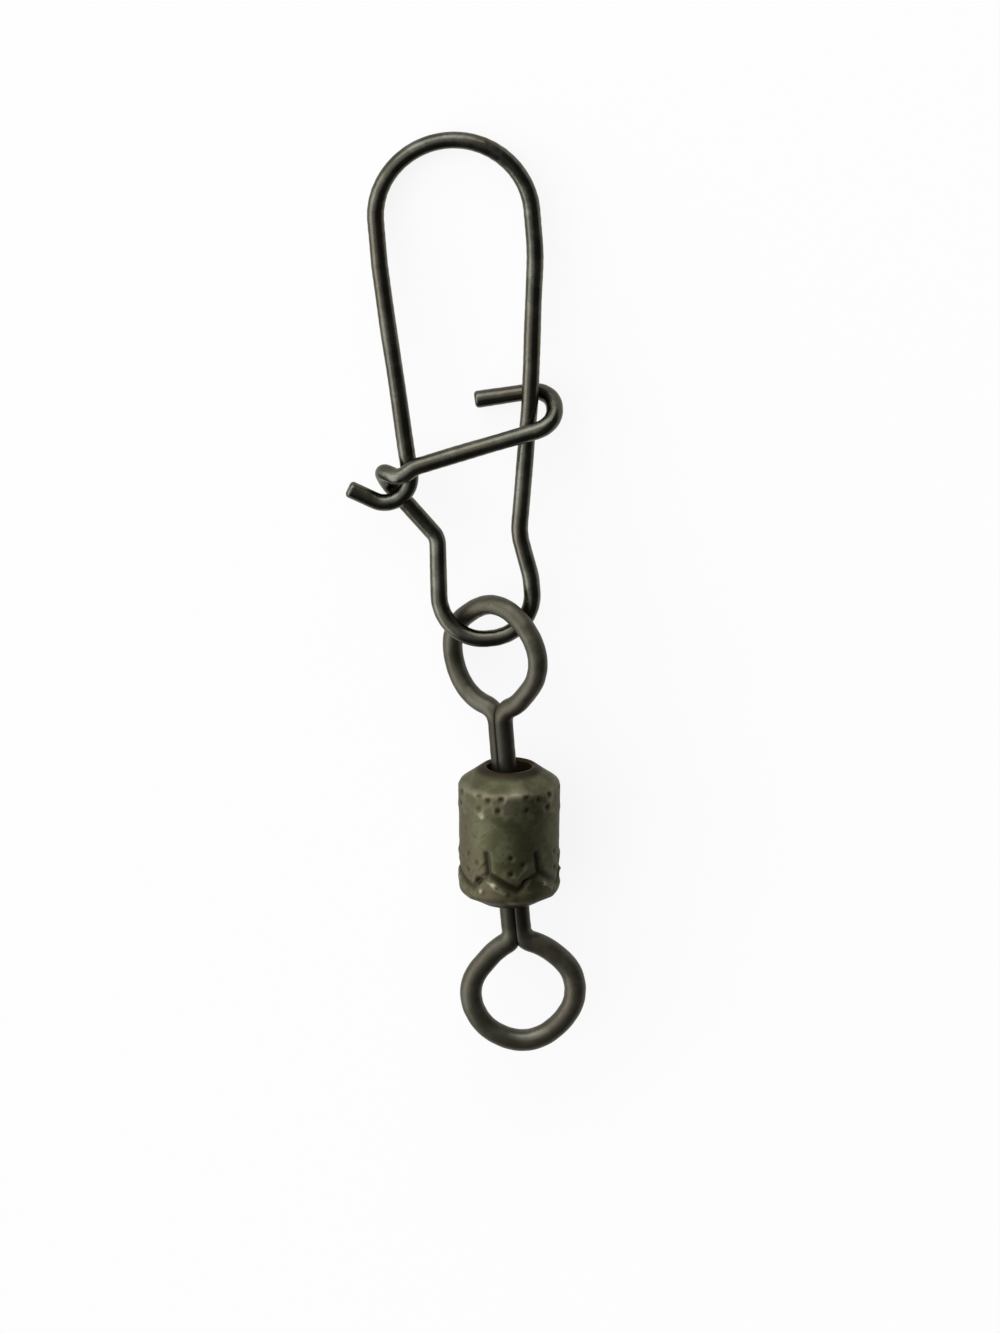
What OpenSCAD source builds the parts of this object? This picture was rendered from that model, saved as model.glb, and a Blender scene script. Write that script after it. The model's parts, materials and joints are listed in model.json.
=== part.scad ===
// Snap swivel: a rolling barrel between two wire eyes, one of which carries
// a snap that is bent from a single length of spring wire.
// It lies on the floor with the line of pull along Y, the centre of the line
// eye at the origin and the snap's bow at the far end.

/* [Barrel] */
// Diameter over the two end bands
band_d = 5.1; // [4.9:0.05:5.4]
// How far the bands stand proud of the smooth middle
band_step = 0.05; // [0.02:0.01:0.1]
// Length between the two shoulders
body_len = 5.7; // [5.4:0.1:6.5]
// Length of each end band
band_len = 1.6; // [1:0.1:2]
// Length of each coned end
cone_len = 0.7; // [0.6:0.05:0.9]
// Diameter of each end hole
hole_d = 2.25; // [2.2:0.05:2.4]
// Width of the flat rim round each end hole
rim_w = 0.22; // [0.15:0.01:0.3]
// Radius of the shoulder between each band and its cone
shoulder_r = 0.3; // [0.1:0.05:0.5]
// Radius of the rolled edge round each end hole
lip_r = 0.15; // [0.1:0.01:0.2]
// Thickness of the barrel's side wall
side_wall = 0.5; // [0.4:0.05:0.6]
// Thickness of the end walls that hold the heads in
end_wall = 0.6; // [0.5:0.05:0.65]
// Turn of the barrel away from the line of pull, taken up by its loose holes
barrel_lean = 4.6; // [0:0.1:4.8]

/* [Eyes] */
// Thickness of the eyes' wire
eye_wire = 1.05; // [0.95:0.01:1.08]
// Radius of the round, to the middle of the wire
eye_r = 2.63; // [2.5:0.01:2.8]
// Radius of the bends that lead from the round into the shank
neck_r = 0.7; // [0.6:0.05:0.9]
// Distance between the strands' centres, where they are pressed together
strand_pitch = 0.4; // [0.3:0.02:0.42]
// Distance from the centre of the round to the head
shank_reach = 6.75; // [6.6:0.05:7]
// Room round the upset head inside the barrel
head_gap = 0.28; // [0.25:0.01:0.35]
// Height of the upset head
head_h = 0.9; // [0.7:0.05:1.1]
// Room between the snap eye's head and the end wall, which lets the barrel lean
head_room = 0.2; // [0.18:0.01:0.3]
// How far the line eye is pushed in from where the snap eye stands
end_play = 1.27; // [0:0.01:1.3]
// Turn of the snap eye about the line of pull
snap_eye_turn = 37; // [35:0.5:39]

/* [Snap] */
// Thickness of the snap's wire
snap_wire = 0.85; // [0.8:0.01:0.88]
// Clear space between two stretches of wire that pass each other
pass_gap = 0.06; // [0.04:0.01:0.1]
// How far the snap's middle stands to the left of the line of pull
offset_left = 0.27; // [0.2:0.01:0.35]
// Distance from the bottom of the seat to the top of the bow
bow_top = 25.8; // [25:0.1:27]
// Width of the bow, to the middle of the wire
bow_w = 7.82; // [7.7:0.02:8]
// Length over which the bow's two sides run level, its round included
bow_straight = 6.1; // [5.5:0.1:6.5]
// Width of the seat, the small bend that hangs in the eye
seat_w = 4.78; // [4.74:0.01:4.84]
// Radius of the seat's two corners
seat_r = 2.2; // [2:0.01:2.2]
// Distance from the bottom of the seat to the narrow waist
waist_at = 5.5; // [5.3:0.1:5.7]
// Distance from the snap's middle to its left side at the waist
waist_left = 2.11; // [2.05:0.01:2.15]
// Distance from the snap's middle to its right side at the waist
waist_right = 1.93; // [1.88:0.01:1.98]
// Distance from the bottom of the seat to the right end of the crossbar
bar_at = 11.05; // [10.9:0.05:11.2]
// How far the crossbar falls towards the bight on the left
bar_fall = 1.93; // [1.88:0.01:1.98]
// Distance from the snap's middle to the foot of the left leg
foot_out = 3.1; // [3.05:0.01:3.15]
// Distance from the snap's middle to the right leg where the crossbar passes it
knee_out = 3.02; // [2.95:0.01:3.08]
// Distance from the snap's middle to the bight's outer corner
bight_out = 4.51; // [4.45:0.01:4.55]
// Distance along the leg that the bight takes up
bight_drop = 0.93; // [0.9:0.01:1]
// Distance from the snap's middle to the outer corner of the stub's turn
turn_out = 4.27; // [4.2:0.01:4.4]
// Distance along the leg that the stub's turn takes up
turn_rise = 1.45; // [1.4:0.01:1.55]
// Length of the stub beyond its turn
stub_len = 3.85; // [3.5:0.05:4.2]
// Length of the hook at the end of the wire
hook_len = 3.12; // [3:0.02:3.3]
// Part of the hook's length that runs level below the bight
hook_flat = 1.7; // [1.6:0.01:1.8]
// How far the hook's tip stands above its level part
hook_tip = 0.85; // [0.7:0.01:0.9]
// Radius of the bend from the left leg into the hook
foot_r = 1.05; // [0.95:0.01:1.1]
// Radius of the two bends of the stub's turn
turn_r = 0.93; // [0.85:0.01:0.95]
// Radius of the bends before and after the bight
tight_r = 0.85; // [0.8:0.01:0.88]
// Radius of the bend that closes the bight behind the leg
bight_r = 0.57; // [0.5:0.01:0.6]
// How far the seat lies back from the eye's crown
slack = 1.96; // [1.92:0.01:2]

/* [Hidden] */
$fn = 48;

// A round bend is a hair fuller than the straight wire that enters it.
swell = 0.02;
entry = 0.06;
corner_steps = 4;
bevel = 0.36;
middle_r = band_d / 2 - band_step;
cavity_r = middle_r - side_wall;
head_r = cavity_r - head_gap;
floor_z = -band_d / 2;
barrel_half = body_len / 2 + cone_len;
cavity_half = barrel_half - end_wall;
snap_reach = cavity_half - head_room + shank_reach;
barrel_y = snap_reach - end_play;
snap_eye_y = barrel_y + snap_reach;
seat_y = snap_eye_y + eye_r - slack;
pass = snap_wire + pass_gap;
snap_tilt = asin((-floor_z - snap_wire / 2) / bow_top);

// Corners of the snap's wire in its own plane: across, along, depth and the
// radius of the bend. The wire starts at the stub, turns over the right leg,
// makes the latch round the left leg, hangs in the eye, runs up the right leg
// and round the bow, and ends in the hook that catches below the latch.
mid = -offset_left;
right = mid + bow_w / 2;
left = mid - bow_w / 2;
crown = 0.02;
bow_r = (bow_w - crown) / 2;
sides_at = bow_top - bow_straight;
knee_rise = 0.75;
knee_at = bar_at + knee_rise;
bight_top = bar_at - bar_fall;
bight_low = bight_top - bight_drop;
foot = mid - foot_out;
hook_room = 0.25;
hook_at = bight_low - pass + hook_room;
hook_slope = 0.06;
hook_r = 1.1;
stub_dip = 0.28;
seat_side = 3.2;
leg_r = 13;
route = [
    [mid + turn_out - stub_len, bar_at + turn_rise - stub_dip, -pass, 0],
    [mid + turn_out, bar_at + turn_rise, -pass, turn_r],
    [mid + turn_out, bar_at, pass, turn_r],
    [mid - bight_out, bight_top, pass, tight_r],
    [mid - bight_out, bight_low, -pass, bight_r],
    [mid - waist_left, waist_at, -pass, tight_r],
    [mid - seat_w / 2, 0, 0, seat_r],
    [mid + seat_w / 2, 0, 0, seat_r],
    [mid + seat_w / 2, seat_side, 0, seat_r],
    [mid + waist_right, waist_at, 0, seat_side],
    [mid + knee_out, knee_at, 0, leg_r],
    [right, sides_at, 0, leg_r],
    [right, bow_top, 0, bow_r],
    [left, bow_top, 0, bow_r],
    [left, sides_at, 0, leg_r],
    [foot, hook_at, 0, foot_r],
    [foot - hook_flat, hook_at + hook_slope, 0, hook_r],
    [foot - hook_len, hook_at + hook_tip, 0, 0]
];

function unit(v) = v / norm(v);
function spot(i) = [route[i].x, route[i].y, route[i].z];
function way(i) = unit(spot(i + 1) - spot(i));
function turn(i) = acos(way(i - 1) * way(i));
function at_end(i) = i == 0 || i == len(route) - 1;
function tangent(i) = at_end(i) ? 0 : route[i][3] * tan(turn(i) / 2);
function overrun(i) = at_end(i) ? 0 : entry;
function placed(x, y, z, p) = [
    [x.x, y.x, z.x, p.x],
    [x.y, y.y, z.y, p.y],
    [x.z, y.z, z.z, p.z],
    [0, 0, 0, 1]
];

// Straight stretch from corner i to the next, let into the bend at either end.
module stretch(i) {
    z = way(i);
    x = unit(cross([0.3, 0.1, 1], z));
    first = tangent(i) - overrun(i);
    last = tangent(i + 1) - overrun(i + 1);
    multmatrix(placed(x, cross(z, x), z, spot(i) + first * z))
        cylinder(h = norm(spot(i + 1) - spot(i)) - first - last, d = snap_wire);
}

// Arc of wire about Z, from one angle on by another.
module arc(radius, from, sweep, thickness) {
    rotate([0, 0, from])
        rotate_extrude(angle = sweep)
            translate([radius, 0])
                circle(d = thickness);
}

// Bend at corner i, from the end of one stretch to the start of the next.
module bend(i) {
    a = way(i - 1);
    b = way(i);
    outward = unit((a * b) * a - b);
    centre = spot(i) - tangent(i) * a - route[i][3] * outward;
    multmatrix(placed(outward, a, cross(outward, a), centre))
        arc(route[i][3], 0, turn(i), snap_wire + swell);
}

module snap() {
    color("darkslategray")
        translate([0, seat_y, 0])
            rotate([-snap_tilt, 0, 0])
                union() {
                    for (i = [0:len(route) - 2]) stretch(i);
                    for (i = [1:len(route) - 2]) bend(i);
                }
}

// Head that is upset on the ends of the two strands.
module head() {
    rotate([90, 0, 0])
        rotate_extrude()
            polygon([
                [0, 0],
                [head_r, 0],
                [head_r, head_h - bevel],
                [head_r - bevel, head_h],
                [0, head_h]
            ]);
}

// Wire eye: the round about the origin, the shank of two strands towards -Y.
module eye() {
    side = strand_pitch / 2 + neck_r;
    open = asin(side / (eye_r + neck_r));
    neck_y = -(eye_r + neck_r) * cos(open);
    lead = entry / neck_r * 180 / PI;
    arc(eye_r, open - 90, 360 - 2 * open, eye_wire + swell);
    for (s = [-1, 1]) {
        translate([s * side, neck_y, 0])
            mirror([s > 0 ? 0 : 1, 0, 0])
                arc(neck_r, 90 + open - lead, 90 - open + 2 * lead, eye_wire);
        translate([s * strand_pitch / 2, neck_y, 0])
            rotate([90, 0, 0])
                cylinder(h = shank_reach + neck_y + head_h / 2, d = eye_wire + swell);
    }
    translate([0, -shank_reach, 0])
        head();
}

module line_eye() {
    color("dimgray")
        rotate([0, 0, 180])
            eye();
}

module snap_eye() {
    color("dimgray")
        translate([0, snap_eye_y, 0])
            rotate([0, -snap_eye_turn, 0])
                eye();
}

// Points of a corner that is rounded with radius r about c, from one angle to the other.
function rounded(c, r, from, to) = [
    for (k = [0:corner_steps])
        let (t = from + (to - from) * k / corner_steps) c + r * [cos(t), sin(t)]
];

// The barrel's section, as radius and distance from the middle: the outside of
// one half, its lip and cavity, then the same points mirrored on the way back.
module shell_section() {
    rim_r = hole_d / 2 + rim_w;
    band_at = body_len / 2 - band_len;
    slope = atan((band_d / 2 - rim_r) / cone_len);
    shoulder = [band_d / 2 - shoulder_r, body_len / 2 - shoulder_r * tan(slope / 2)];
    lip = [hole_d / 2 + lip_r, barrel_half - lip_r];
    half = concat(
        [[middle_r, band_at], [band_d / 2, band_at + band_step]],
        rounded(shoulder, shoulder_r, 0, slope),
        [[rim_r, barrel_half]],
        rounded(lip, lip_r, 90, 180),
        [
            [hole_d / 2, cavity_half],
            [cavity_r - bevel, cavity_half],
            [cavity_r, cavity_half - bevel]
        ]
    );
    polygon(concat(half, [for (k = [len(half) - 1:-1:0]) [half[k].x, -half[k].y]]));
}

module barrel() {
    color("darkolivegreen")
        translate([0, barrel_y, 0])
            rotate([-90, 0, -barrel_lean])
                rotate_extrude()
                    shell_section();
}

barrel();
line_eye();
snap_eye();
snap();
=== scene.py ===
import json
import math

import bpy
import numpy as np
from mathutils import Matrix, Vector


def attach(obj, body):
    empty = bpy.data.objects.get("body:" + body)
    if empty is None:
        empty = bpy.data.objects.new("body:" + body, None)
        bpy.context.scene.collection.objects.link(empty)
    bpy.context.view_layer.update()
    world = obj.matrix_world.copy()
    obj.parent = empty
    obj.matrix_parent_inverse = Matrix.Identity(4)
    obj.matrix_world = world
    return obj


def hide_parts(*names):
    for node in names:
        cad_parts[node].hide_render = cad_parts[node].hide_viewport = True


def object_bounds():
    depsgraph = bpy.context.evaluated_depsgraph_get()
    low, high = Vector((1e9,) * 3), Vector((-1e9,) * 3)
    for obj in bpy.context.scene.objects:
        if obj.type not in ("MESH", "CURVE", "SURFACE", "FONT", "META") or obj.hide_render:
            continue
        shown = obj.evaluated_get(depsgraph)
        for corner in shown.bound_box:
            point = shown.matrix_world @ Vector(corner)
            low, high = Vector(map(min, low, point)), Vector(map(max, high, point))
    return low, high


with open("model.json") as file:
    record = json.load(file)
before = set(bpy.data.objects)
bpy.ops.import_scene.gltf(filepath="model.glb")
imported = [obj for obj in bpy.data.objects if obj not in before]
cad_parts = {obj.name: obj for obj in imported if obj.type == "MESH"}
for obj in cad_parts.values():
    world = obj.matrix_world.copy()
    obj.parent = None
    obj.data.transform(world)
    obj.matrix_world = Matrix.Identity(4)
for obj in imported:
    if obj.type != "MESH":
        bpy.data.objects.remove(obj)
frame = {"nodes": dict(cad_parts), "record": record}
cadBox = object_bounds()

# A snap swivel in black nickel, lying on a pale floor. Lengths in the settings are millimetres.
mm = 0.001
scene = bpy.context.scene
joints = {joint["name"]: joint for joint in frame["record"]["behaviour"]["joints"]}
print("frame loaded:", ", ".join(sorted(frame["nodes"])))


# Mesh helpers

def unitRows(v):
    # v / |v| for each row
    return v / np.linalg.norm(v, axis=-1, keepdims=True)


def smoothStep(low, high, x):
    # 3t^2 - 2t^3 with t running from 0 at low to 1 at high
    t = np.clip((x - low) / (high - low), 0, 1)
    return t * t * (3 - 2 * t)


def bump(x, width):
    # exp(-(x / width)^2), a rounded hill of height 1
    return np.exp(-(x / width) ** 2)


def wrapped(x, period):
    # x brought into one period about zero
    return (x + period / 2) % period - period / 2


def ripple(seed, x, waves, whole=False, count=7):
    # Sum of count sines over sqrt(count), mostly between -1 and 1. The seed draws the wave numbers, near the
    # given one, and the phases
    # Whole wave numbers close after one turn, for x in radians
    rng = np.random.default_rng(seed)
    k = waves * rng.uniform(0.4, 1.6, count)
    k = np.maximum(np.round(k), 1) if whole else k
    phase = rng.uniform(0, 2 * np.pi, count)
    return np.sin(x[..., None] * k + phase).sum(-1) / math.sqrt(count)


def gridFaces(rows, cols, closeRows, closeCols, start=0):
    # Four corners of each cell of a rows x cols grid, wrapped round where it closes
    r = np.arange(rows if closeRows else rows - 1)[:, None]
    c = np.arange(cols if closeCols else cols - 1)[None, :]
    r2, c2 = (r + 1) % rows, (c + 1) % cols
    cells = np.stack([r * cols + c, r * cols + c2, r2 * cols + c2, r2 * cols + c], -1)
    return start + cells.reshape(-1, 4)


def putMesh(name, points, faces, along, around, worn, paintedShade):
    # One mesh object from point and face arrays. Per point: run = (cos, sin, length) of its place round and
    # along the wire or the barrel, worn = rubbed bright, and a painted shade from 0 to 1, darkest in recesses
    mesh = bpy.data.meshes.new(name)
    flat = np.concatenate([np.asarray(f).ravel() for f in faces])
    sizes = np.concatenate([np.full(len(f), f.shape[1]) for f in faces])
    mesh.vertices.add(len(points))
    mesh.vertices.foreach_set("co", (points * mm).astype(np.float32).ravel())
    mesh.loops.add(len(flat))
    mesh.loops.foreach_set("vertex_index", flat.astype(np.int32))
    mesh.polygons.add(len(sizes))
    mesh.polygons.foreach_set("loop_start", np.concatenate([[0], np.cumsum(sizes)[:-1]]).astype(np.int32))
    mesh.polygons.foreach_set("use_smooth", np.ones(len(sizes), bool))
    mesh.update(calc_edges=True)
    run = mesh.attributes.new("run", "FLOAT_VECTOR", "POINT")
    turned = np.column_stack([np.cos(around), np.sin(around), along])
    run.data.foreach_set("vector", turned.astype(np.float32).ravel())
    for key, values in (("worn", worn), ("paintedShade", paintedShade)):
        mesh.attributes.new(key, "FLOAT", "POINT").data.foreach_set("value", values.astype(np.float32))
    mesh.validate()
    piece = bpy.data.objects.new(name, mesh)
    scene.collection.objects.link(piece)
    return piece


def evenly(path, step):
    # The same path with its points at equal distances of about one step
    s = np.concatenate([[0], np.cumsum(np.linalg.norm(np.diff(path, axis=0), axis=1))])
    at = np.linspace(0, s[-1], int(s[-1] / step) + 1)
    return np.stack([np.interp(at, s, path[:, k]) for k in range(3)], -1)


def roundedPath(corners, radii, step):
    # Straight runs between corners, each corner cut by an arc of its radius that is tangent to both runs
    # Arc: centre - r cos(t) m + r sin(t) a, with a the way in and m the way out square to a
    p = np.asarray(corners, float)
    way = unitRows(np.diff(p, axis=0))
    parts = [p[:1]]
    for i in range(1, len(p) - 1):
        a, b, r = way[i - 1], way[i], radii[i]
        turn = math.acos(np.clip(a @ b, -1, 1))
        m = (b - a * math.cos(turn)) / math.sin(turn)
        begin = p[i] - a * r * math.tan(turn / 2)
        t = np.linspace(0, turn, max(6, int(r * turn / step)))[:, None]
        parts.append(begin + r * m - r * np.cos(t) * m + r * np.sin(t) * a)
    parts.append(p[-1:])
    return evenly(np.concatenate(parts), step)


def eased(path, spread):
    # Each point is the bell-weighted mean of its neighbours, ends kept: w = exp(-(k / spread)^2)
    reach = int(3 * spread)
    w = bump(np.arange(-reach, reach + 1), spread)
    w /= w.sum()
    held = np.concatenate([2 * path[:1] - path[reach:0:-1], path, 2 * path[-1:] - path[-2:-reach - 2:-1]])
    return np.stack([np.convolve(held[:, k], w, "valid") for k in range(3)], -1)


def drawnWire(path, s, seed):
    # Rings about a path: point + radius (cos v side + sin v top), top = straight up made square to the path
    # Radius = half the thickness + swell ripple(length) + lopsided ripple(length) cos v
    along = np.arange(len(path)) * s["step"]
    v = np.arange(s["sides"]) * 2 * np.pi / s["sides"]
    radius = s["thickness"] / 2 + s["swell"] * ripple(seed, along, s["swellWaves"])[:, None]
    radius = radius + s["lopsided"] * ripple(seed + 1, along, s["lopsidedWaves"])[:, None] * np.cos(v)
    tangent = unitRows(np.gradient(path, axis=0))
    top = unitRows([0, 0, 1] - tangent[:, 2:] * tangent)
    side = np.cross(tangent, top)
    out = np.cos(v)[None, :, None] * side[:, None] + np.sin(v)[None, :, None] * top[:, None]
    return path[:, None] + radius[..., None] * out, along, v


def cutEnd(path, rings, at, edge):
    # A flat wire end, its edge rounded by a radius: rings drawn in by edge (1 - cos t) and moved out by
    # edge sin t, then rings across the slightly dished flat, and its centre
    outward = unitRows(path[at] - path[1 if at == 0 else -2])
    t = np.linspace(0, np.pi / 2, 6)[1:, None, None]
    spokes = rings[at] - path[at]
    size = np.linalg.norm(spokes, axis=1, keepdims=True)
    rounded = path[at] + spokes / size * (size - edge * (1 - np.cos(t))) + outward * edge * np.sin(t)
    shares = np.linspace(0.75, 0.15, 4)[:, None, None]
    flat = path[at] + outward * edge * 0.96 + spokes * shares
    centre = path[at] + outward * edge * 0.95
    return np.concatenate([rounded, flat]), centre


def lathe(profile, cols):
    # The profile (radius, distance) carried round the Y axis: (r cos v, y, r sin v)
    v = np.arange(cols) * 2 * np.pi / cols
    r, y = profile[:, :1], profile[:, 1:]
    return np.stack([r * np.cos(v), np.broadcast_to(y, (len(profile), cols)), r * np.sin(v)], -1), v


# Snap: one wire, from the stub over the right leg, round the left leg, through the eye and back to the hook

snapWire = {
    "thickness": 0.85,
    "seatY": 18.4,            # where the seat hangs in the snap eye
    "tilt": 4.7245,           # degrees, down to where the bow rests on the floor
    "middle": -0.27,
    "pass": 0.91,             # distance between two runs that cross
    "bowTop": 25.8,           # places along the snap count from where the seat hangs
    "bowWidth": 7.82,
    "bowSides": 6.1,
    "bowAside": 0.04,
    "bowCrown": 0.01,         # half the straight that is left in the middle of the bow
    "seatWidth": 4.78,
    "seatLeft": 0.15,         # how far the seat's two corners stand above its hanging point
    "seatRight": 0.26,
    "seatBend": 2.2,
    "seatSide": 3.2,
    "waistAt": 5.5,           # waist, where the two legs come closest
    "waistLow": 5.36,
    "waistLeft": 2.11,
    "waistRight": 1.99,
    "barAt": 11.05,
    "overOut": 2.9,           # where the crossbar passes over the left leg and bends towards the seat
    "overAt": 9.47,
    "dipOut": 3.72,
    "dipAt": 8.96,
    "dipBend": 0.65,
    "curlOut": 4.6,           # the curl of the bight, on its way down past the leg
    "curlAt": 9.2,
    "curlBend": 0.55,
    "backOut": 4.4,           # where it comes back below the leg
    "backAt": 8.43,
    "kneeOut": 3.02,          # the right leg where the crossbar passes it
    "kneeRise": 0.75,
    "turnOut": 4.27,          # the stub and its turn round the right leg
    "turnRise": 1.5,
    "turnBend": 1.12,
    "stubLength": 3.79,
    "stubDip": 0.28,
    "footOut": 3.12,          # the left leg's foot and the hook at the end of the wire
    "footBend": 1.3,
    "hookAt": 7.5,
    "hookLength": 3.07,
    "hookFlat": 1.7,
    "hookSlope": 0.06,
    "hookTip": 0.85,
    "hookBend": 0.9,
    "tightBend": 0.85,
    "legBend": 13,
    "endRound": 0.17,         # the rounded edge of the cut ends
    "endWear": 0.7,           # how bright they are rubbed, and over what length
    "endReach": 0.4,
    "ease": 1.6,              # how many steps the bends are eased over
    "waver": 0.012,           # hand-bent unevenness, which fades out towards the ends
    "waverFade": 3,
    "swell": 0.004,           # uneven thickness
    "swellWaves": 1.3,
    "lopsided": 0.003,
    "lopsidedWaves": 9,
    "sides": 32,
    "step": 0.08,
}


def snapPath(s):
    # Corners of the wire as across, along, height and bend radius, from the stub to the hook's tip
    # The rounded path then sways across and along by waver times ripples of its length
    m, p = s["middle"], s["pass"]
    right, left = m + s["bowAside"] + s["bowWidth"] / 2, m + s["bowAside"] - s["bowWidth"] / 2
    sidesAt = s["bowTop"] - s["bowSides"]
    foot, hookAt = m - s["footOut"], s["hookAt"]
    bow = s["bowWidth"] / 2 - s["bowCrown"]
    corners = [
        [m + s["turnOut"] - s["stubLength"], s["barAt"] + s["turnRise"] - s["stubDip"], -p, 0],
        [m + s["turnOut"], s["barAt"] + s["turnRise"], -p, s["turnBend"]],
        [m + s["turnOut"], s["barAt"], p, s["turnBend"]],
        [m - s["overOut"], s["overAt"], p, s["tightBend"]],
        [m - s["dipOut"], s["dipAt"], p, s["dipBend"]],
        [m - s["curlOut"], s["curlAt"], 0, s["curlBend"]],
        [m - s["backOut"], s["backAt"], -p, s["tightBend"]],
        [m - s["waistLeft"], s["waistLow"], -p, s["tightBend"]],
        [m - s["seatWidth"] / 2, s["seatLeft"], 0, s["seatBend"]],
        [m + s["seatWidth"] / 2, s["seatRight"], 0, s["seatBend"]],
        [m + s["seatWidth"] / 2, s["seatSide"], 0, s["seatBend"]],
        [m + s["waistRight"], s["waistAt"], 0, s["seatSide"]],
        [m + s["kneeOut"], s["barAt"] + s["kneeRise"], 0, s["legBend"]],
        [right, sidesAt, 0, s["legBend"]],
        [right, s["bowTop"], 0, bow],
        [left, s["bowTop"], 0, bow],
        [left, sidesAt, 0, s["legBend"]],
        [foot, hookAt, 0, s["footBend"]],
        [foot - s["hookFlat"], hookAt + s["hookSlope"], 0, s["hookBend"]],
        [foot - s["hookLength"], hookAt + s["hookTip"], 0, 0],
    ]
    corners = np.array(corners)
    path = eased(roundedPath(corners[:, :3], corners[:, 3], s["step"]), s["ease"])
    along = np.arange(len(path)) * s["step"]
    fade = s["waverFade"]
    sway = s["waver"] * smoothStep(0, fade, along) * smoothStep(0, fade, along[-1] - along)
    path[:, 0] += sway * ripple(3, along, 0.8)
    path[:, 1] += sway * ripple(4, along, 0.7)
    return path


def layDown(points, s):
    # Turned down about the seat by the tilt and moved to the snap eye
    t = math.radians(s["tilt"])
    x, y, z = np.moveaxis(points, -1, 0)
    y, z = y * math.cos(t) + z * math.sin(t), z * math.cos(t) - y * math.sin(t)
    return np.stack([x, s["seatY"] + y, z], -1)


def makeSnap(s):
    # The wire's rings with a cut end before and after them, each closed by a fan round its centre
    path = snapPath(s)
    rings, along, v = drawnWire(path, s, 8)
    startRings, startCentre = cutEnd(path, rings, 0, s["endRound"])
    endRings, endCentre = cutEnd(path, rings, -1, s["endRound"])
    rings = np.concatenate([startRings[::-1], rings, endRings])
    rows, n = rings.shape[:2]
    points = np.concatenate([rings.reshape(-1, 3), [startCentre, endCentre]])
    lengths = np.concatenate([np.zeros(len(startRings)), along, np.full(len(endRings), along[-1])])
    k = np.arange(n)
    first = np.column_stack([(k + 1) % n, k, np.full(n, rows * n)])
    last = np.column_stack([(rows - 1) * n + k, (rows - 1) * n + (k + 1) % n, np.full(n, rows * n + 1)])
    faces = [f[:, ::-1] for f in (gridFaces(rows, n, False, True), first, last)]
    rubbed = bump(lengths, s["endReach"]) + bump(lengths[-1] - lengths, s["endReach"])
    worn = np.append(np.repeat(rubbed, n), [1, 1]) * s["endWear"]
    lengths = np.append(np.repeat(lengths, n), [0, lengths[-1]])
    around = np.append(np.tile(v, rows), [0, 0])
    return putMesh("snapWire", layDown(points, s), faces, lengths, around, worn, worn * 0)


snapPiece = makeSnap(snapWire)
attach(snapPiece, "snap")
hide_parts("snap")
print("snap made,", len(snapPiece.data.polygons), "faces")


# Wire eyes: one length of wire each, a round whose two strands are pressed together as the shank

barrelY = joints["line_eye_spin"]["pos_m"][1] / mm
wireEye = {
    "thickness": 1.09,
    "round": 2.63,            # radius to the middle of the wire
    "neck": 0.7,
    "pitch": 0.4,             # between the middles of the pressed strands
    "aside": 0.08,            # the shank stands this far to one side of the round's middle
    "drop": 0.0,              # the round's shank side is drawn out by this
    "reach": 6.75,            # from the middle of the round to the head
    "headRadius": 1.72,
    "headHeight": 0.9,
    "headBevel": 0.36,
    "headColumns": 64,
    "headStep": 0.08,
    "headRound": 0.12,        # the roundings of the head's edge and of its bevel
    "bevelRound": 0.1,
    "slit": -0.004,           # the strands are pressed this far into each other
    "slitEase": 0.002,        # how softly the flat between them starts
    "ease": 2.2,
    "swell": 0.005,
    "swellWaves": 1.1,
    "lopsided": 0.004,
    "lopsidedWaves": 7,
    "wearReach": 0.9,         # how far the inside is rubbed from the top of the round
    "sides": 40,
    "step": 0.06,
}
# Each eye: flats as angle from the shank in degrees (right is positive), spread and depth; the place of its
# round along the swivel, the way it faces, its turn about the line of pull in degrees and its ripples' seed
lineEyeWire = {
    **wireEye,
    "flats": [(45, 27, 0.23), (-43, 25, 0.14), (132, 28, -0.02), (-138, 26, 0.09), (178, 20, -0.04)],
    "place": 0,
    "faces": -1,
    "turn": 0,
    "seed": 21,
}
snapEyeWire = {
    **wireEye,
    "thickness": 0.99,
    "pitch": 0.34,
    "aside": 0.0,
    "drop": 0.22,
    "neck": 0.85,
    "flats": [(45, 24, 0.18), (-45, 30, -0.08), (95, 35, -0.09), (-148, 28, 0.17), (165, 30, -0.07)],
    "place": 2 * barrelY + 1.27,  # as far past the barrel as the line eye is before it, and 1.27 of slack
    "faces": 1,
    "turn": 37,
    "seed": 31,
}


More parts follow.
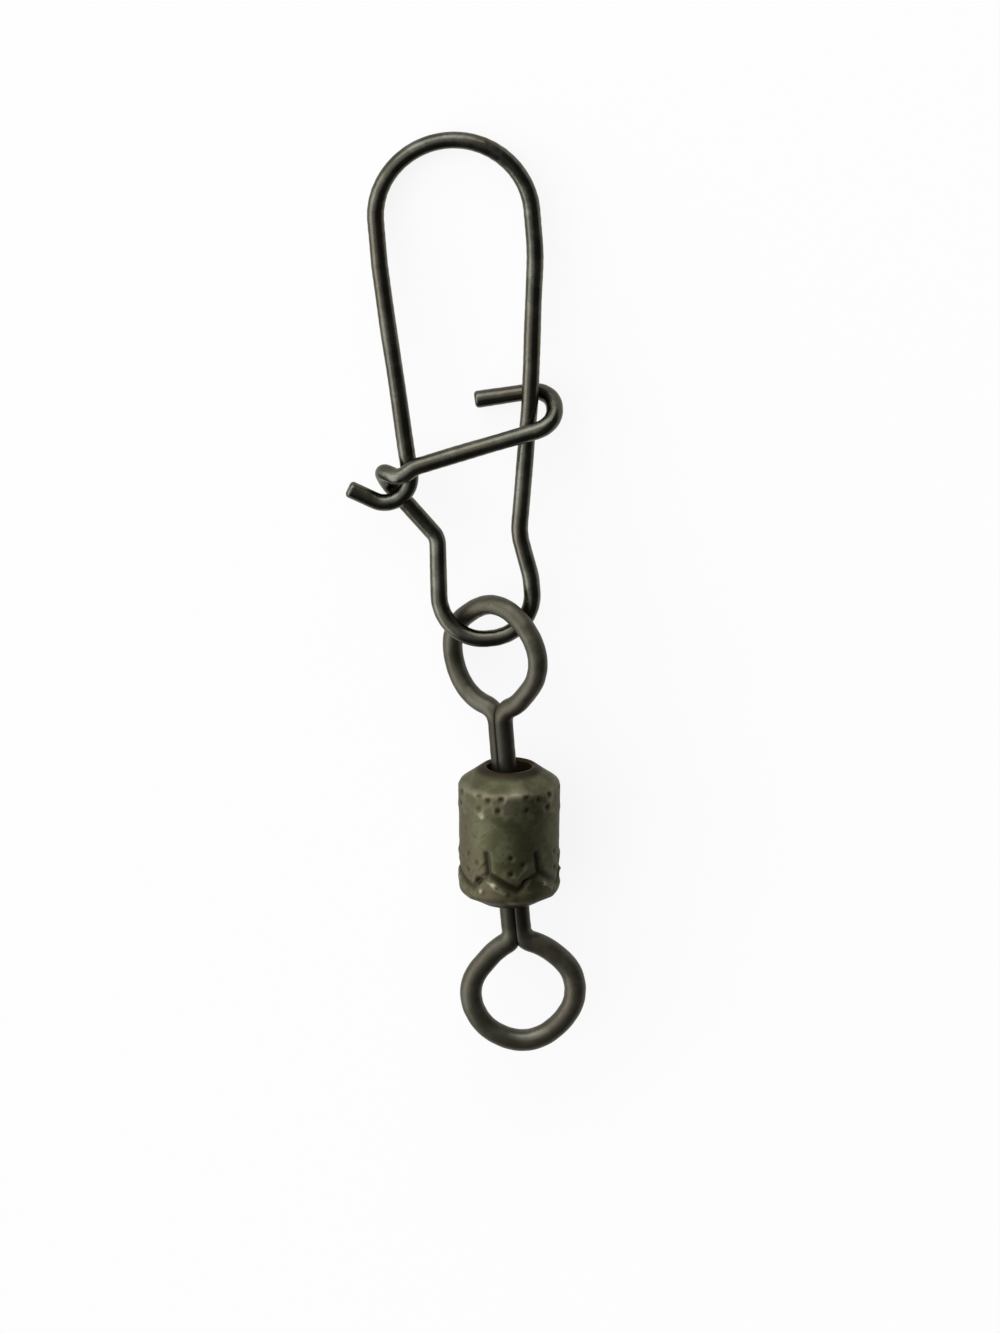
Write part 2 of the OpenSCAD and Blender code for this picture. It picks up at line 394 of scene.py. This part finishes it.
def eyePath(s):
    # Shank strand, neck arc, round, neck arc, strand. Each flat pulls the round in by its depth at its angle
    r, n = s["round"], s["neck"]
    side = s["pitch"] / 2 + n
    opened = math.asin(side / (r + n))
    neckY = -(r + n) * math.cos(opened)
    up = np.linspace(-s["reach"] - s["headHeight"] / 2, neckY, 60)[:-1]
    strand = np.stack([np.full_like(up, s["pitch"] / 2), up], -1)
    t = np.linspace(np.pi, np.pi / 2 + opened, 24)[:-1]
    neck = np.stack([side + n * np.cos(t), neckY + n * np.sin(t)], -1)
    t = np.linspace(opened, np.pi, 160)
    half = np.concatenate([strand, neck, np.stack([r * np.sin(t), -r * np.cos(t)], -1)])
    path = np.concatenate([half, (half * [-1, 1])[-2::-1]])
    angle = np.degrees(np.arctan2(path[:, 0], -path[:, 1]))
    ringPart = smoothStep(neckY - 0.2, neckY + 0.5, path[:, 1])
    for at, spread, depth in s["flats"]:
        pull = depth * bump(wrapped(angle - at, 360), spread) * ringPart
        path -= pull[:, None] * unitRows(path)
    path[:, 0] += s["aside"] * (1 - smoothStep(neckY - 0.6, neckY + 1.6, path[:, 1]))
    drawn = smoothStep(0.3, -r, path[:, 1]) * smoothStep(-s["reach"], neckY - 1, path[:, 1])
    path[:, 1] -= s["drop"] * drawn
    path = evenly(np.column_stack([path, np.zeros(len(path))]), s["step"])
    return eased(path, s["ease"])


def eyeHead(s):
    # Upset head: a flat disc with a bevel on one side and its edges rounded, carried round the shank
    r, h, b = s["headRadius"], s["headHeight"], s["headBevel"]
    y = -s["reach"]
    corners = [[0.01, y, 0], [r, y, 0], [r, y - h + b, 0], [r - b, y - h, 0], [0.01, y - h, 0]]
    bends = [0, s["headRound"], s["bevelRound"], s["bevelRound"], 0]
    path = roundedPath(corners, bends, s["headStep"])[:, :2]
    return lathe(path, s["headColumns"])


def makeEye(name, s):
    # The wire's rings and the head, turned about the line of pull and moved to the eye's place
    path = eyePath(s)
    rings, along, v = drawnWire(path, s, s["seed"])
    # Strands pressed flat at the seam: the gap g of each point to it becomes (g + sqrt(g^2 + ease)) / 2
    hand = np.where(along < along[-1] / 2, 1, -1)[:, None]
    gap = hand * (rings[..., 0] - s["aside"]) - s["slit"]
    pressed = (gap + np.sqrt(gap ** 2 + s["slitEase"])) / 2
    shank = 1 - smoothStep(-s["round"] - 0.4, -s["round"] + 0.3, path[:, 1:2])
    rings[..., 0] += hand * (pressed - gap) * shank
    rows, n = rings.shape[:2]
    head, headV = eyeHead(s)
    headRows, headCols = head.shape[:2]
    x, y, z = np.concatenate([rings.reshape(-1, 3), head.reshape(-1, 3)]).T
    t = math.radians(s["turn"])
    x, z = x * math.cos(t) - z * math.sin(t), x * math.sin(t) + z * math.cos(t)
    points = np.stack([x * s["faces"], y * s["faces"] + s["place"], z], -1)
    tube = gridFaces(rows, n, False, True)[:, ::-1]
    disc = gridFaces(headRows, headCols, False, True, start=rows * n)
    k, k2 = np.arange(n)[None], np.arange(headCols)[None]
    tubeEnds = [k, k[:, ::-1] + (rows - 1) * n]
    discEnds = [k2[:, ::-1] + rows * n, k2 + rows * n + (headRows - 1) * headCols]
    headLengths = along[-1] + np.arange(headRows) * s["headStep"]
    lengths = np.append(np.repeat(along, n), np.repeat(headLengths, headCols))
    around = np.append(np.tile(v, rows), np.tile(headV, headRows))
    inside = bump(rings[..., 1] - s["round"], s["wearReach"]) * smoothStep(0, 0.4, -np.cos(v))
    worn = np.append(inside, np.zeros(headRows * headCols))
    # Painted shade: the shank darker towards the barrel, and the head fully
    paintedShade = np.append(smoothStep(-2.9, -3.8, rings[..., 1]), np.ones(headRows * headCols))
    return putMesh(name, points, [tube, disc, *discEnds, *tubeEnds], lengths, around, worn, paintedShade)


lineEye = makeEye("lineEye", lineEyeWire)
snapEye = makeEye("snapEye", snapEyeWire)
for piece, node in ((lineEye, "line_eye"), (snapEye, "snap_eye")):
    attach(piece, node)
    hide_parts(node)
print("eyes made,", len(lineEye.data.polygons), "faces each")


# Barrel: a turned shell with stamped relief

barrel = {
    "bandRadius": 2.56,
    "bottom": -3.47,          # the two ends and the two shoulders, along the barrel from its middle
    "lowShoulder": -2.83,
    "highShoulder": 2.8,
    "top": 3.66,
    "lowRound": 0.45,
    "highRound": 0.4,
    "holeRadius": 1.125,
    "holeRound": 0.13,
    "rim": 0.22,              # the flat rim round each hole, and its rounded edge
    "rimRound": 0.12,
    "cavityRadius": 2.0,
    "cavityHalf": 2.95,
    "cavityRound": 0.36,
    "lean": 4.6,              # degrees
    "leftBy": 0.03,
    "inset": 0.015,           # the plain ground lies this far below the bands' radius
    "waistDepth": 0.03,       # the smooth middle lies this far below the bands
    "repeats": 6,
    "wander": 0.07,           # how far the hand-stamped pattern wanders round and along
    "sway": 0.05,
    "drift": 0.06,
    "struck": 0.8,            # how hard it is struck, and how much that varies
    "struckVaries": 0.25,
    "grooveDepth": 0.12,
    "grooveWidth": 0.17,
    "dotDepth": 0.07,
    "dotRadius": 0.14,
    "dotLip": 0.012,          # the lip thrown up round each dot, and where it lies
    "dotLipAt": 0.27,
    "dotLipWidth": 0.12,
    "handled": 0.005,         # shallow dents from handling, and finer ones
    "fine": 0.003,
    # Painted shade, as shares: a band round each hole, and the lower cone
    "rimPaintedShade": 0.85,
    "conePaintedShade": 0.75,
    "columns": 336,
    "step": 0.045,
    "insideStep": 0.12,
}
# Stamped relief in one repeat, as distance round the barrel and distance along it from the middle
creaseCorners = [(-1.23, -0.4), (-1.12, -1.4), (0.52, -2.17), (1.55, -1.4)]
upperDots = [(-1.18, 2.45), (-1.8, 2.7), (-1.76, 2.0), (-0.46, 2.65), (-0.58, 2.0)]
lowerDots = [(0.15, -0.45), (0.76, -0.85), (0.15, -1.28), (0.88, -1.8)]
# Raised ridges, as start, end, height and width
ridges = [
    ((-1.4, -1.75), (-0.75, -1.98), 0.07, 0.16),
    ((-0.8, -1.98), (-0.15, -2.32), 0.095, 0.17),
    ((-0.72, -1.3), (0.2, -1.72), 0.045, 0.13),
    ((0.5, -1.55), (1.25, -0.8), 0.05, 0.12),
    ((1.0, -2.0), (1.35, -1.6), 0.05, 0.13),
    ((-0.95, -0.62), (-0.2, -0.75), 0.03, 0.2),
]
# Raised spots, as place, height and width; a negative height is a dent
lumps = [
    (-1.52, 1.56, 0.03, 0.2),
    (-1.58, -2.35, 0.06, 0.2),
    (0.2, -2.75, 0.04, 0.25),
    (0.9, -1.75, -0.08, 0.2),
    (-0.1, 1.7, 0.02, 0.3),
    (-0.2, 2.4, 0.02, 0.3),
]


def segmentDistance(x, y, a, b, period):
    # Distance from points to the segment a-b on a surface that closes after one period in x
    mid = (a[0] + b[0]) / 2
    px = wrapped(x - mid, period) + mid - a[0]
    py = y - a[1]
    dx, dy = b[0] - a[0], b[1] - a[1]
    t = np.clip((px * dx + py * dy) / (dx * dx + dy * dy), 0, 1)
    return np.hypot(px - t * dx, py - t * dy)


def stampedRelief(across, along, s):
    # Heights over the band's radius: -inset - waist + sum of hills and pits, each exp(-(distance / width)^2)
    # Also gives a painted shade for each point, from 0 on the open surface to 1 in the grooves and pits
    period = 2 * np.pi * s["bandRadius"] / s["repeats"]
    turn = across / s["bandRadius"]
    x = across + s["wander"] * ripple(54, turn, 3, True) + s["sway"] * ripple(55, along, 0.9)
    y = along + s["drift"] * ripple(56, turn, 4, True)
    struck = s["struck"] + s["struckVaries"] * ripple(57, turn, 4, True)
    waist = s["waistDepth"] * smoothStep(1.75, 1.0, along) * smoothStep(-3.1, -2.6, along)
    lines = [segmentDistance(x, y, a, b, period) for a, b in zip(creaseCorners, creaseCorners[1:])]
    d = np.min(lines, axis=0)
    width = s["grooveWidth"] * (1 + 0.25 * ripple(58, x, 3) * ripple(59, y, 3))
    h = -s["inset"] - waist - s["grooveDepth"] * bump(d, width) * struck
    flat = struck * smoothStep(s["highShoulder"] + 0.1, s["highShoulder"] - 0.15, along)
    pits = 0
    for dotX, dotY in upperDots + lowerDots:
        q = np.hypot(wrapped(x - dotX, period), y - dotY)
        pit = bump(q, s["dotRadius"])
        pits = pits + pit
        h = h + flat * (s["dotLip"] * bump(q - s["dotLipAt"], s["dotLipWidth"]) - s["dotDepth"] * pit)
    uneven = 0.85 + 0.35 * ripple(60, x, 3.5) * ripple(61, y, 2.5)
    for a, b, tall, wide in ridges:
        h = h + tall * bump(segmentDistance(x, y, a, b, period), wide * uneven) * struck * uneven
    for lumpX, lumpY, tall, wide in lumps:
        h = h + tall * bump(np.hypot(wrapped(x - lumpX, period), y - lumpY), wide)
    h = h + s["handled"] * ripple(51, along, 2.2) * ripple(52, turn, 4, True)
    h = h + s["fine"] * ripple(53, turn + along * 0.25, 14, True)
    # Painted shade: darkest along the creases and in the dots
    return h, np.clip(bump(d, s["grooveWidth"] * 1.3) * struck + pits * flat, 0, 1)


def makeBarrel(s):
    # Outer and inner profile carried round as one closed shell; the relief moves the outside along its
    # normal, and the whole leans in the floor's plane
    hole, radius, cavity = s["holeRadius"], s["bandRadius"], s["cavityHalf"]
    rim = hole + s["rim"]
    outer = [[hole, -cavity, 0], [hole, s["bottom"], 0], [rim, s["bottom"], 0], [radius, s["lowShoulder"], 0],
             [radius, s["highShoulder"], 0], [rim, s["top"], 0], [hole, s["top"], 0], [hole, cavity, 0]]
    bends = [0, s["holeRound"], s["rimRound"], s["lowRound"],
             s["highRound"], s["rimRound"], s["holeRound"], 0]
    outside = roundedPath(outer, bends, s["step"])[:, :2]
    wide = s["cavityRadius"]
    inner = [[hole, cavity, 0], [wide, cavity, 0], [wide, -cavity, 0], [hole, -cavity, 0]]
    bends = [0, s["cavityRound"], s["cavityRound"], 0]
    inside = roundedPath(inner, bends, s["insideStep"])[1:-1, :2]
    grid, v = lathe(outside, s["columns"])
    tangent = unitRows(np.gradient(outside, axis=0))
    normal = np.stack([tangent[:, 1], -tangent[:, 0]], -1)
    # The point straight up is v = 90 degrees; across runs to the right of it
    across = (np.pi / 2 - v)[None, :] * radius
    out, at = outside[:, :1], outside[:, 1:]
    height, paintedShade = stampedRelief(across, at * np.ones_like(across), s)
    clear = smoothStep(rim + 0.1, rim + 0.6, out)
    height = height * clear
    grid[..., 0] += height * normal[:, :1] * np.cos(v)
    grid[..., 1] += height * normal[:, 1:]
    grid[..., 2] += height * normal[:, :1] * np.sin(v)
    grid = np.concatenate([grid, lathe(inside, s["columns"])[0]])
    rows, cols = grid.shape[:2]
    faces = gridFaces(rows, cols, True, True)[:, ::-1]
    # Rubbed bright on what stands high and along the shoulders; -1 marks the lining of the holes
    edge = bump(at - s["highShoulder"], 0.22) * 0.3 + bump(at - s["lowShoulder"], 0.25) * 0.2
    high = np.clip(height + s["inset"] + 0.02, 0, 0.06) / 0.06
    lined = smoothStep(hole + 0.1, hole, out)
    worn = np.append((high + edge) * (1 - lined) - lined, -np.ones(len(inside) * cols))
    # Painted shade: the grooves and pits, a band round each hole, and more over the lower cone
    below = smoothStep(s["lowShoulder"] + 0.15, s["bottom"] + 0.1, at)
    paintedShade = np.maximum(paintedShade * clear + s["rimPaintedShade"] * (1 - clear), below * s["conePaintedShade"])
    paintedShade = np.append(paintedShade, np.zeros(len(inside) * cols))
    lengths = np.repeat(np.arange(rows) * s["step"], cols)
    x, y, z = grid.reshape(-1, 3).T
    t = math.radians(s["lean"])
    x, y = x * math.cos(t) + y * math.sin(t) - s["leftBy"], y * math.cos(t) - x * math.sin(t) + barrelY
    return putMesh("barrelShell", np.stack([x, y, z], -1), [faces], lengths, np.tile(v, rows), worn, paintedShade)


barrelPiece = makeBarrel(barrel)
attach(barrelPiece, "barrel")
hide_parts("barrel")
print("barrel made,", len(barrelPiece.data.polygons), "faces")


# Finishes

class Value:
    # One output socket; sums, differences and products of it add Math nodes
    def __init__(self, nodes, socket):
        self.nodes, self.socket = nodes, socket

    def math(self, operation, *others):
        return self.nodes.add("ShaderNodeMath", {"operation": operation}, dict(enumerate((self, *others))))

    def __add__(self, other):
        return self.math("ADD", other)

    def __mul__(self, other):
        return self.math("MULTIPLY", other)

    def __sub__(self, other):
        return self.math("SUBTRACT", other)

    def __rsub__(self, other):
        return self.nodes.add("ShaderNodeMath", {"operation": "SUBTRACT"}, {0: other, 1: self})

    __radd__ = __add__
    __rmul__ = __mul__


class Nodes:
    # Adds nodes to one tree
    def __init__(self, tree):
        self.tree = tree
        tree.nodes.clear()

    def feed(self, socket, value):
        if isinstance(value, Value):
            self.tree.links.new(value.socket, socket)
        else:
            socket.default_value = value

    def node(self, kind, settings=None, sockets=None):
        node = self.tree.nodes.new(kind)
        for key, value in (settings or {}).items():
            setattr(node, key, value)
        for key, value in (sockets or {}).items():
            self.feed(node.inputs[key], value)
        return node

    def add(self, kind, settings=None, sockets=None, out=0):
        return Value(self, self.node(kind, settings, sockets).outputs[out])

    def noise(self, vector, scale, detail=3, roughness=0.55):
        return self.add("ShaderNodeTexNoise", {"noise_dimensions": "3D"},
                        {"Vector": vector, "Scale": scale, "Detail": detail, "Roughness": roughness})

    def range(self, value, low, high, toLow=0.0, toHigh=1.0):
        ends = {"From Min": low, "From Max": high, "To Min": toLow, "To Max": toHigh}
        return self.add("ShaderNodeMapRange", {"interpolation_type": "SMOOTHSTEP"}, {"Value": value, **ends})

    def mix(self, factor, a, b):
        return self.add("ShaderNodeMix", {"data_type": "RGBA"}, {0: factor, 6: a, 7: b}, out=2)

    def vector(self, operation, a, b, out=0):
        return self.add("ShaderNodeVectorMath", {"operation": operation}, {0: a, 1: b}, out)


class Finish(Nodes):
    # A material with one Principled shader
    def __init__(self, name):
        self.material = bpy.data.materials.new(name)
        self.material.use_nodes = True
        super().__init__(self.material.node_tree)
        self.shader = self.node("ShaderNodeBsdfPrincipled")
        surface = Value(self, self.shader.outputs[0])
        self.end = self.node("ShaderNodeOutputMaterial", {}, {"Surface": surface})

    def set(self, **sockets):
        for key, value in sockets.items():
            self.feed(self.shader.inputs[key.replace("_", " ")], value)


def blackNickel(name, look):
    # Dark plated metal: cloudy tint, fine draw lines, small pits, brighter metal where it is worn, and
    # painted shade where the mesh marks it
    f = Finish(name)
    place = f.add("ShaderNodeTexCoord", out="Object")
    run = f.add("ShaderNodeAttribute", {"attribute_name": "run"}, out="Vector")
    worn = f.add("ShaderNodeAttribute", {"attribute_name": "worn"}, out="Fac")
    paintedShade = f.add("ShaderNodeAttribute", {"attribute_name": "paintedShade"}, out="Fac")
    cloud = f.noise(place, look["cloudScale"], 4)
    patch = f.noise(place, look["cloudScale"] * 0.37, 2)
    fleck = f.noise(place, look["cloudScale"] * 3.3, 3)
    grain = f.noise(place, look["grainScale"], 2)
    lines = f.noise(f.vector("MULTIPLY", run, look["lineShape"]), 1.0, 3, 0.6)
    tint = f.mix(f.range(cloud, 0.4, 0.62), look["dark"], look["light"])
    tint = f.mix(f.range(patch, 0.46, 0.64) * look["stained"], tint, look["stain"])
    tint = f.mix(f.range(fleck, 0.5, 0.7) * look["flecked"], tint, look["fleck"])
    tint = f.mix(f.range(lines, 0.42, 0.7) * look["lineTint"], tint, look["light"])
    rub = f.range(worn + cloud * 0.8, 0.75, 1.5)
    tint = f.mix(rub * look["rub"], tint, look["bare"])
    pits = f.range(f.noise(place, look["pitScale"], 1), 0.3, 0.24)
    tint = f.mix(pits * look["pitted"], tint, look["pit"])
    # Painted shade: the tint darkens towards the shade colour where the mesh's painted-shade attribute is
    # high
    tint = f.mix(f.range(paintedShade + cloud * 0.5, 0.3, 1.1) * look["paintedShadeShare"], tint, look["shade"])
    # The lining of the holes is marked with -1: unplated brass
    tint = f.mix(f.range(worn, -0.2, -0.9), tint, look["lining"])
    rough = look["rough"] + (cloud - 0.5) * 0.3 + (lines - 0.5) * 0.2 - rub * 0.06
    height = lines * look["lineDepth"] + grain * look["grainDepth"] - pits * 0.3 + cloud * look["cloudDepth"]
    depth = look["reliefMetres"]
    relief = f.add("ShaderNodeBump", {}, {"Strength": 1.0, "Distance": depth, "Height": height})
    metal = look["metal"] + rub * (1 - look["metal"])
    f.set(Base_Color=tint, Roughness=rough, Metallic=metal, Normal=relief, Specular_Tint=look["edge"])
    return f.material


snapLook = {
    "dark": (0.06, 0.06, 0.048, 1),
    "light": (0.1, 0.099, 0.081, 1),
    "stain": (0.073, 0.063, 0.047, 1),
    "fleck": (0.05, 0.05, 0.039, 1),
    "bare": (0.16, 0.16, 0.14, 1),
    "pit": (0.012, 0.012, 0.01, 1),
    "shade": (0.02, 0.018, 0.013, 1),
    "edge": (0.85, 0.85, 0.78, 1),
    "lining": (0.04, 0.024, 0.008, 1),
    "metal": 1.0,
    "rough": 0.24,
    "rub": 0.5,
    "paintedShadeShare": 0.8,
    "stained": 0.6,
    "flecked": 0.5,
    "pitted": 0.6,
    "cloudScale": 900,        # noise scales are per metre
    "grainScale": 26000,
    "pitScale": 9000,
    "lineShape": (9, 9, 0.5),
    "lineTint": 0.3,
    "lineDepth": 0.4,         # heights in the relief, as shares of its full height
    "grainDepth": 0.12,
    "cloudDepth": 0.5,
    "reliefMetres": 0.00001,
}
eyeLook = {
    **snapLook,
    "dark": (0.044, 0.041, 0.027, 1),
    "light": (0.07, 0.066, 0.049, 1),
    "stain": (0.056, 0.044, 0.031, 1),
    "metal": 0.7,
    "rough": 0.42,
}
barrelLook = {
    **snapLook,
    "dark": (0.05, 0.048, 0.022, 1),
    "light": (0.08, 0.08, 0.045, 1),
    "stain": (0.074, 0.06, 0.036, 1),
    "fleck": (0.042, 0.048, 0.018, 1),
    "bare": (0.24, 0.22, 0.16, 1),
    "shade": (0.015, 0.01, 0.004, 1),
    "edge": (0.55, 0.55, 0.48, 1),
    "metal": 0.58,
    "rough": 0.5,
    "rub": 0.75,
    "paintedShadeShare": 0.95,
    "stained": 0.9,
    "flecked": 0.8,
    "lineShape": (2, 2, 6),
    "lineTint": 0.15,
    "cloudDepth": 1.3,
}
snapPiece.data.materials.append(blackNickel("snapNickel", snapLook))
barrelPiece.data.materials.append(blackNickel("barrelNickel", barrelLook))
eyeNickel = blackNickel("eyeNickel", eyeLook)
lineEye.data.materials.append(eyeNickel)
snapEye.data.materials.append(eyeNickel)
print("finishes made")


# Floor, light and camera

studio = {
    "floorZ": cadBox[0].z,
    "floorHalf": 1.0,
    "floorColour": (0.93, 0.93, 0.93, 1),
    "floorRough": 0.9,
    "floorShine": 0.1,
    "paperWhite": 0.88,       # share of the floor that shows as plain white, whatever falls on it
    "overhead": 0.075,        # world strength above
    "horizon": 0.35,          # and low down all round
    "horizonTop": 0.35,       # sine of the height at which the first is reached
    "glow": 1.8,              # and what is added towards the soft boxes
    "glowFrom": (-0.62, 0.5, 0.2),
    "distance": 2.0,          # metres from the camera to the middle of the picture
    "pictureHeight": 66.7,    # millimetres that the picture takes in there
    "sensor": 36,
    "tilt": 18.0,             # degrees, and the roll too
    "roll": 4.6,
    "aim": (0.22, 17.085, 0.0),
}
# Soft boxes: degrees from -X towards +Y, degrees up, width, height, distance and power
softBoxes = {
    "sideLight": {"round": -8, "up": 20, "wide": 1.6, "high": 0.8, "away": 1.15, "power": 9.5},
    "farLight": {"round": 80, "up": 20, "wide": 1.6, "high": 0.8, "away": 1.15, "power": 8.5},
}


def makeFloor(s):
    # Pale paper. Seen directly, in metal or through glass, most of it is plain white, the rest keeps shadow
    w, z = s["floorHalf"], s["floorZ"]
    mesh = bpy.data.meshes.new("floor")
    mesh.from_pydata([(-w, -w, z), (w, -w, z), (w, w, z), (-w, w, z)], [], [(0, 1, 2, 3)])
    floor = bpy.data.objects.new("floor", mesh)
    scene.collection.objects.link(floor)
    f = Finish("floorPaper")
    f.set(Base_Color=s["floorColour"], Roughness=s["floorRough"], Specular_IOR_Level=s["floorShine"])
    seen = f.add("ShaderNodeLightPath", out="Is Camera Ray")
    seen = seen + f.add("ShaderNodeLightPath", out="Is Glossy Ray")
    seen = seen + f.add("ShaderNodeLightPath", out="Is Transmission Ray")
    white = f.add("ShaderNodeEmission", {}, {"Color": (1, 1, 1, 1), "Strength": 1.0})
    paper = Value(f, f.shader.outputs[0])
    mixed = f.add("ShaderNodeMixShader", {}, {0: seen * s["paperWhite"], 1: paper, 2: white})
    f.feed(f.end.inputs["Surface"], mixed)
    mesh.materials.append(f.material)


def softBox(name, s):
    # An area lamp at its distance from the origin, in the direction of its two angles, shining back at it
    lamp = bpy.data.lights.new(name, "AREA")
    lamp.shape = "RECTANGLE"
    lamp.size, lamp.size_y = s["wide"], s["high"]
    lamp.energy = s["power"]
    box = bpy.data.objects.new(name, lamp)
    a, e = math.radians(s["round"]), math.radians(s["up"])
    way = Vector((-math.cos(e) * math.cos(a), math.cos(e) * math.sin(a), math.sin(e)))
    box.location = way * s["away"]
    box.rotation_euler = way.to_track_quat("Z", "Y").to_euler()
    scene.collection.objects.link(box)


def makeWorld(s):
    # Dim above, lighter at the horizon, and a broad soft glow where the soft boxes hang
    # strength = range(height) + glow smoothstep(direction . glowFrom)
    world = bpy.data.worlds.new("studio")
    world.use_nodes = True
    scene.world = world
    n = Nodes(world.node_tree)
    way = n.add("ShaderNodeTexCoord", out="Generated")
    height = n.vector("DOT_PRODUCT", way, (0, 0, 1), out="Value")
    facing = n.vector("DOT_PRODUCT", way, Vector(s["glowFrom"]).normalized(), out="Value")
    level = n.range(height, 0.0, s["horizonTop"], s["horizon"], s["overhead"])
    level = level + n.range(facing, 0.05, 0.95, 0, s["glow"])
    sky = n.add("ShaderNodeBackground", {}, {"Color": (1, 1, 1, 1), "Strength": level})
    n.node("ShaderNodeOutputWorld", {}, {"Surface": sky})


def makeCamera(s):
    # Nearly straight above: up leans from +Y by the roll, and the view from straight down by the tilt
    tilt, roll = math.radians(s["tilt"]), math.radians(s["roll"])
    right = Vector((math.cos(roll), -math.sin(roll), 0))
    up = Vector((math.cos(tilt) * math.sin(roll), math.cos(tilt) * math.cos(roll), -math.sin(tilt)))
    back = right.cross(up)
    camera = bpy.data.cameras.new("camera")
    camera.sensor_width = s["sensor"]
    camera.lens = s["sensor"] * s["distance"] / (s["pictureHeight"] * mm)
    camera.clip_start, camera.clip_end = 0.01, 10
    holder = bpy.data.objects.new("camera", camera)
    turned = Matrix((right, up, back)).transposed().to_4x4()
    holder.matrix_world = Matrix.Translation(Vector(s["aim"]) * mm + back * s["distance"]) @ turned
    scene.collection.objects.link(holder)
    scene.camera = holder


makeFloor(studio)
for name, settings in softBoxes.items():
    softBox(name, settings)
makeWorld(studio)
makeCamera(studio)
scene.view_settings.view_transform = "Standard"
print("studio made")
